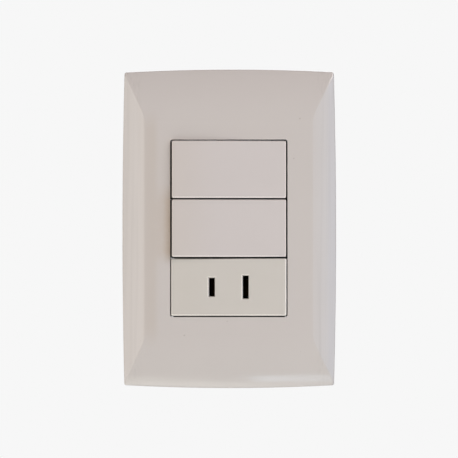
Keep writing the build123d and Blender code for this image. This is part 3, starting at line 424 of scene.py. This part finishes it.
def cover_gloss():
    """High gloss beige, with a painted shadow and a dull rub beside the keys, painted shade in the gaps, a
    few specks and hairline scratches.
    """
    base = screen(196, 187, 182)
    recipe = Recipe("cover_gloss")
    cloud = recipe.noise(22.0, detail=2.0)
    pigment = recipe.noise(0.6, detail=3.0, seed=4.0)
    mixed = recipe.calc("ADD", recipe.calc("MULTIPLY", cloud, 0.75), recipe.calc("MULTIPLY", pigment, 0.25))
    shade = recipe.tint(recipe.spread(mixed, 0.3, 0.7), toned(base, 0.994), toned(base, 1.006))

    across, _, up = recipe.parts(recipe.place)
    # Left of the lower key: a painted shadow in the colour, and a dull rub in the roughness
    shadow_and_rub = shadow_and_rub_beside_keys(recipe, across, up)
    broken = recipe.spread(recipe.noise(2.0, seed=9.0), 0.2, 0.6, 0.6, 1.0)
    shade = recipe.tint(recipe.calc("MULTIPLY", shadow_and_rub, broken), shade, screen(182, 163, 145))
    # A darker, warmer upright strip at the foot of the left slope
    shade = recipe.tint(darker_strip(recipe, across, up), shade, screen(191, 180, 172))
    for x, z, radius in SPECKS:
        away = recipe.distance(recipe.place, (x * MM, -PLATE_DEPTH, z * MM))
        mark = recipe.spread(away, radius * 0.5 * MM, radius * 1.4 * MM, 0.32, 0.0)
        shade = recipe.tint(mark, shade, screen(120, 105, 95))
    dots = recipe.spread(recipe.cells(5.5), 0.012, 0.03, 0.35, 0.0)
    shade = recipe.tint(dots, shade, screen(140, 124, 112))
    patchy = recipe.spread(recipe.noise(2.5, seed=3.0), 0.4, 0.7, 0.0, 0.5)
    rub = recipe.calc("MULTIPLY", recipe.outer_edges(0.6), patchy)
    shade = recipe.tint(rub, shade, screen(210, 200, 192))
    # Painted shade in the gaps round the keys and the socket front
    shade = recipe.tint(recipe.gaps(2.0, 0.18, 0.62), shade, GAP_SHADE)
    flow = recipe.calc("MULTIPLY", flow_lines(recipe, across), 0.10)
    recipe.feed("Base Color", recipe.tint(flow, shade, screen(150, 140, 132)))

    polish = recipe.spread(recipe.noise(18.0, detail=4.0, seed=2.0), 0.3, 0.7, 0.10, 0.15)
    scratches = recipe.cells(6.0, stretch=(0.35, 1.0, 3.0), feature="DISTANCE_TO_EDGE")
    hairline = recipe.spread(scratches, 0.0, 0.012, 0.10, 0.0)
    sparse = recipe.spread(recipe.noise(8.0, seed=13.0), 0.5, 0.62)
    rough = recipe.calc("ADD", polish, recipe.calc("MULTIPLY", hairline, sparse))
    recipe.feed("Roughness", recipe.calc("ADD", rough, recipe.calc("MULTIPLY", shadow_and_rub, 0.12), True))

    peel = recipe.relief(recipe.noise(2.6, detail=1.0, seed=6.0), 0.0012)
    waves = recipe.noise(16.0, detail=1.0, stretch=(1.0, 1.0, 2.5), seed=8.0)
    recipe.feed("Normal", recipe.relief(waves, 0.012, peel))
    return recipe.material


def satin_key(name, colour, rim, left_shade):
    """Satin beige with a very fine grain, for the faces that hands touch."""
    return moulded_plastic(name, colour, 0.34, 0.12, 0.0016, drift=0.006, edge_shine=0.08, rim=rim, left_shade=left_shade)


def worked_metal(name, colour, dull, rough, stretch, grain_depth_mm):
    """Worked metal: a directional grain, tarnish in patches, bright rubbed edges, dark corners."""
    recipe = Recipe(name, metallic=1.0)
    streak = recipe.noise(0.25, detail=4.0, stretch=stretch)
    patch = recipe.spread(recipe.noise(4.5, detail=5.0, seed=3.0), 0.45, 0.72, 0.0, TARNISH)
    shade = recipe.tint(recipe.spread(streak, 0.3, 0.7), toned(colour, 0.9), colour)
    shade = recipe.tint(patch, shade, dull)
    shade = recipe.tint(recipe.calc("MULTIPLY", recipe.corners(1.0), 0.6), shade, dull)
    edges = recipe.outer_edges(0.35)
    shade = recipe.tint(recipe.calc("MULTIPLY", edges, 0.7), shade, toned(colour, 1.12))
    recipe.feed("Base Color", shade)
    level = recipe.spread(streak, 0.25, 0.75, rough * 0.85, rough * 1.2)
    level = recipe.calc("ADD", level, recipe.calc("MULTIPLY", patch, 0.35))
    polished = recipe.calc("MULTIPLY", edges, rough * 0.3)
    recipe.feed("Roughness", recipe.calc("SUBTRACT", level, polished, True))
    recipe.feed("Normal", recipe.relief(streak, grain_depth_mm))
    return recipe.material


finishes = {
    "cover_plate": cover_gloss(),
    # Keys and socket front: shares of painted shade on their right, lower and upper rims, then the shares
    # kept at their left end under painted shade
    "keys": satin_key("key_satin", screen(198, 188, 184), (0.95, 0.55, 0.0), (0.975, 0.965, 0.935)),
    "socket_face": satin_key(
        "socket_satin", screen(196, 188, 180), (0.2, 0.5, 0.9), (0.995, 0.993, 0.985)),
    "rockers": moulded_plastic("rocker_nylon", screen(226, 222, 210), 0.42, 0.2, 0.002),
    "plungers": moulded_plastic("plunger_acetal", screen(236, 236, 230), 0.30, 0.3, 0.001),
    "bridges": moulded_plastic("bridge_grey", screen(88, 88, 92), 0.50, 0.16, 0.006, drift=0.04),
    "bases": moulded_plastic(
        "base_grey", screen(80, 80, 83), 0.50, 0.18, 0.007, drift=0.06, moulding=base_moulding),
    "mounting_frame": worked_metal(
        "zinc_sheet", screen(205, 208, 210), screen(160, 164, 168), 0.30, UPWARDS, 0.0010),
    "terminal_blocks": worked_metal(
        "brass_machined", screen(205, 180, 126), screen(140, 116, 80), 0.30, EVEN, 0.0015),
    "contact_strips": worked_metal(
        "brass_strip", screen(206, 176, 122), screen(144, 112, 76), 0.30, ACROSS, 0.0010),
    # Bronze painted darker: painted shade for the deep slots of the socket
    "socket_contacts": worked_metal(
        "darkened_bronze_strip", screen(120, 92, 60), screen(70, 52, 36), 0.42, ACROSS, 0.0010),
    "contact_tips": worked_metal(
        "silver_tip", screen(232, 231, 226), screen(120, 116, 110), 0.34, EVEN, 0.0008),
    "terminal_screws": worked_metal(
        "zinc_screw", screen(186, 186, 180), screen(124, 124, 120), 0.36, EVEN, 0.0008),
    "springs": worked_metal(
        "spring_wire", screen(175, 176, 180), screen(110, 108, 106), 0.22, EVEN, 0.0005),
}
for node in frame["nodes"].values():
    for piece_slot in node.material_slots:
        piece_slot.material = finishes[piece_slot.material.name]


def finished(name, mesh, slot, body="fixed_part"):
    """A new piece on one body, smooth apart from its creases."""
    mesh.polygons.foreach_set("use_smooth", [True] * len(mesh.polygons))
    mesh.set_sharp_from_angle(angle=math.radians(CREASE_ANGLE))
    mesh.materials.append(finishes[slot])
    piece = bpy.data.objects.new(name, mesh)
    bpy.context.scene.collection.objects.link(piece)
    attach(piece, body)
    return piece


def thread_radius(radius, along, length, turn):
    """Distance of the thread's surface from the axis, at a place along it and a turn of 0 to 1."""
    phase = (along / THREAD_PITCH - turn) % 1.0
    crest = min(1.0, THREAD_FLAT * (1.0 - abs(2.0 * phase - 1.0)))
    to_end = min(along, length - along)
    chamfer = max(0.0, SCREW_CHAMFER - to_end)
    return min(radius - THREAD_DEPTH * (1.0 - crest), radius - chamfer)


def skin(shape, rings):
    """Closes a tube over its rings of corners, with a face at each end."""
    for near, far in zip(rings, rings[1:]):
        for corner in range(len(near)):
            after = (corner + 1) % len(near)
            shape.faces.new((near[corner], near[after], far[after], far[corner]))
    shape.faces.new(list(reversed(rings[0])))
    shape.faces.new(rings[-1])
    bmesh.ops.recalc_face_normals(shape, faces=shape.faces)


def screw_body(radius, length):
    """A threaded rod along X from 0 to its length, closed at both ends."""
    shape = bmesh.new()
    rings = []
    count = round(length / THREAD_PITCH * RINGS_PER_TURN)
    for ring in range(count + 1):
        along = length * ring / count
        corners = []
        for step in range(THREAD_SIDES):
            turn = step / THREAD_SIDES
            angle = 2 * math.pi * turn
            reach = thread_radius(radius, along, length, turn)
            corners.append(shape.verts.new((along, reach * math.cos(angle), reach * math.sin(angle))))
        rings.append(corners)
    skin(shape, rings)
    return shape


def mesh_of(name, shape):
    """The finished mesh of a shape."""
    mesh = bpy.data.meshes.new(name)
    shape.to_mesh(mesh)
    shape.free()
    return mesh


def slot_cutter(radius, length):
    """The block that cuts the driver's slot into the end of a screw along X."""
    shape = bmesh.new()
    made = bmesh.ops.create_cube(shape, size=1.0)
    size = Vector((2 * DRIVER_SLOT_DEPTH, DRIVER_SLOT_WIDTH, 3 * radius))
    for vertex in made["verts"]:
        vertex.co = Vector((length, 0, 0)) + Vector(a * b for a, b in zip(vertex.co, size))
    return shape


def terminal_screw(node_name):
    """A headless slotted screw with a real thread, in place of the plain one, slot outwards."""
    low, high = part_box(node_name)
    middle = (low + high) / 2
    radius = (high.z - low.z) / 2 - SCREW_SHRINK
    length = high.x - low.x - 2 * SCREW_SHRINK
    body = bpy.data.objects.new("screw_blank", mesh_of("screw_blank", screw_body(radius, length)))
    cutter = bpy.data.objects.new("screw_cutter", mesh_of("screw_cutter", slot_cutter(radius, length)))
    for blank in (body, cutter):
        bpy.context.scene.collection.objects.link(blank)
    cut = body.modifiers.new("slot", "BOOLEAN")
    cut.operation = "DIFFERENCE"
    cut.object = cutter
    cut.solver = "EXACT"
    bpy.context.view_layer.update()
    shown = body.evaluated_get(bpy.context.evaluated_depsgraph_get())
    mesh = bpy.data.meshes.new_from_object(shown)
    outward = 1.0 if middle.x > 0 else -1.0
    for vertex in mesh.vertices:
        along, across, up = vertex.co
        vertex.co = middle + Vector((outward * (along - length / 2), outward * across, up))
    for blank in (body, cutter):
        bpy.data.objects.remove(blank)
    screw = finished(node_name + "_threaded", mesh, "terminal_screws")
    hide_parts(node_name)


def seal_rib():
    """The rib along the socket's lower side that closes the line of sight below it."""
    shape = bmesh.new()
    sections = []
    inner = RIB_HALF - RIB_END
    top = RIB_PROFILE[0][1]
    for x, inset in ((-RIB_HALF, RIB_END_INSET), (-inner, 0.0), (inner, 0.0), (RIB_HALF, RIB_END_INSET)):
        section = []
        for y, z in RIB_PROFILE:
            lift = min(inset, top - z)
            section.append(shape.verts.new((x * MM, y * MM, (z + lift) * MM)))
        sections.append(section)
    skin(shape, sections)
    finished("socket_seal_rib", mesh_of("socket_seal_rib", shape), "socket_face")


def coil_spring(switch):
    """The spring behind a plunger, with closed end coils, carried by the key."""
    node_name = switch + "_switch_spring"
    slide = next(joint for joint in frame["joints"] if joint["name"] == switch + "_plunger_slide")
    back = -Vector(slide["axis"]).normalized()
    low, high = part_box(node_name)
    outer = high.z - low.z
    length = (high.y - low.y - outer * abs(back.x)) / abs(back.y)
    front_end = (low + high) / 2 - back * (length / 2)
    side = back.cross(Vector((0, 0, 1)))
    up = side.cross(back)
    wire = SPRING_WIRE / 2
    open_rise = length - SPRING_WIRE - 2 * SPRING_WIRE * CLOSED_PITCH
    shape = bmesh.new()
    rings = []
    steps = round((SPRING_TURNS + 2) * COIL_STEPS)
    for step in range(steps + 1):
        turn = step / COIL_STEPS
        closed = min(turn, 1.0) + max(0.0, turn - 1.0 - SPRING_TURNS)
        opened = min(max(turn - 1.0, 0.0), SPRING_TURNS)
        along = wire + closed * SPRING_WIRE * CLOSED_PITCH + opened / SPRING_TURNS * open_rise
        angle = 2 * math.pi * turn
        outwards = side * math.cos(angle) + up * math.sin(angle)
        middle = front_end + back * along + outwards * (outer / 2 - wire)
        ring = []
        for corner in range(WIRE_SIDES):
            around = 2 * math.pi * corner / WIRE_SIDES
            off_wire = outwards * math.cos(around) + back * math.sin(around)
            ring.append(shape.verts.new(middle + off_wire * wire))
        rings.append(ring)
    skin(shape, rings)
    mesh = mesh_of(node_name + "_coiled", shape)
    spring = finished(node_name + "_coiled", mesh, "springs", switch + "_key")
    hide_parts(node_name)
    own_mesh(spring)


def direction(azimuth, elevation):
    """Unit vector from the plate: azimuth 0 is towards the camera, 90 to its right, in degrees."""
    a = math.radians(azimuth)
    e = math.radians(elevation)
    return Vector((math.sin(a) * math.cos(e), -math.cos(a) * math.cos(e), math.sin(e)))


def area_light(name, width, height, radiance, colour):
    """A rectangular light as bright as radiance says, which the camera sees only in reflections."""
    data = bpy.data.lights.new(name, "AREA")
    data.shape = "RECTANGLE"
    data.size = width
    data.size_y = height
    data.color = colour
    data.energy = ENERGY_PER_RADIANCE * radiance * width * height
    light = bpy.data.objects.new(name, data)
    light.visible_camera = False
    bpy.context.scene.collection.objects.link(light)
    return light


def soft_box(name, azimuth, elevation, distance, width, height, radiance, colour):
    """A light that faces the plate from one direction."""
    light = area_light(name, width, height, radiance, colour)
    light.location = direction(azimuth, elevation) * distance
    light.rotation_mode = "QUATERNION"
    light.rotation_quaternion = direction(azimuth, elevation).to_track_quat("Z", "Y")


def low_panel():
    """A narrow panel below the plate, facing up, whose reflection is the strip in the lower slope."""
    light = area_light("low_panel", PANEL_LENGTH, PANEL_WIDTH, PANEL_RADIANCE, PANEL_COLOUR)
    turn = math.radians(PANEL_TURN)
    inward = Vector((math.sin(turn), math.cos(turn), 0.0))
    light.location = Vector((PANEL_EDGE_X, PANEL_EDGE_Y, PANEL_LEVEL)) + inward * (PANEL_WIDTH / 2)
    light.rotation_euler = (math.pi, 0, -turn)


def room():
    """The world: an even white backdrop for the camera, and dim even light for all else."""
    world = bpy.data.worlds.new("room")
    world.use_nodes = True
    bpy.context.scene.world = world
    tree = world.node_tree
    light = tree.nodes["Background"]
    light.inputs["Color"].default_value = (ROOM_LIGHT, ROOM_LIGHT, ROOM_LIGHT, 1.0)
    backdrop = tree.nodes.new("ShaderNodeBackground")
    backdrop.inputs["Color"].default_value = (BACKDROP_LIGHT, BACKDROP_LIGHT, BACKDROP_LIGHT, 1.0)
    path = tree.nodes.new("ShaderNodeLightPath")
    chosen = tree.nodes.new("ShaderNodeMixShader")
    tree.links.new(path.outputs["Is Camera Ray"], chosen.inputs[0])
    tree.links.new(light.outputs[0], chosen.inputs[1])
    tree.links.new(backdrop.outputs[0], chosen.inputs[2])
    tree.links.new(chosen.outputs[0], tree.nodes["World Output"].inputs["Surface"])


def sheet(name, corners, paint, colour, roughness):
    """A flat matt sheet of the stage; gives back the sheet and its paint."""
    mesh = bpy.data.meshes.new(name)
    mesh.from_pydata(corners, [], [(0, 1, 2, 3)])
    made = bpy.data.objects.new(name, mesh)
    bpy.context.scene.collection.objects.link(made)
    recipe = Recipe(paint)
    recipe.shader.inputs["Base Color"].default_value = colour
    recipe.shader.inputs["Roughness"].default_value = roughness
    recipe.shader.inputs["Specular IOR Level"].default_value = 0.0
    mesh.materials.append(recipe.material)
    return made, recipe


def floor():
    """A plain pale floor below the plate."""
    half = FLOOR_SIZE / 2
    level = cad_box[0].z - FLOOR_DROP
    corners = [(-half, -half, level), (half, -half, level), (half, half, level), (-half, half, level)]
    plane, recipe = sheet("floor", corners, "floor_paint", FLOOR_COLOUR, 0.9)
    recipe.shader.inputs["Emission Color"].default_value = (1.0, 1.0, 1.0, 1.0)
    recipe.shader.inputs["Emission Strength"].default_value = FLOOR_GLOW


def dark_card():
    """The dark side of the room behind the camera, seen only as a reflection."""
    half = CARD_SIZE / 2
    depth = CAMERA_PLACE[1] - CARD_BEHIND
    corners = [(-half, depth, -half), (-half, depth, half), (half, depth, half), (half, depth, -half)]
    card, _ = sheet("dark_card", corners, "dark_card_cloth", CARD_COLOUR, 1.0)
    card.visible_camera = False


def camera_at_photo():
    """The photo's camera, with a lens that gives the plate its share of the picture's width."""
    plate_low, plate_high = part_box("cover_plate")
    aim = Vector((0.0, RIM_DEPTH, (plate_low.z + plate_high.z) / 2))
    to_aim = aim - Vector(CAMERA_PLACE)
    view_width = (plate_high.x - plate_low.x) / PLATE_SHARE_OF_WIDTH
    data = bpy.data.cameras.new("camera")
    data.sensor_width = SENSOR_WIDTH
    data.lens = SENSOR_WIDTH * to_aim.length / view_width
    data.shift_x, data.shift_y = CAMERA_SHIFT
    camera = bpy.data.objects.new("camera", data)
    camera.location = CAMERA_PLACE
    camera.rotation_mode = "QUATERNION"
    camera.rotation_quaternion = to_aim.to_track_quat("-Z", "Y")
    bpy.context.scene.collection.objects.link(camera)
    bpy.context.scene.camera = camera


for node_name in frame["nodes"]:
    if node_name.endswith("terminal_screw"):
        terminal_screw(node_name)
for switch in ("upper", "lower"):
    coil_spring(switch)
seal_rib()

room()
floor()
dark_card()
for box in SOFT_BOXES:
    soft_box(*box)
low_panel()

camera_at_photo()
bpy.context.scene.view_settings.view_transform = "Standard"
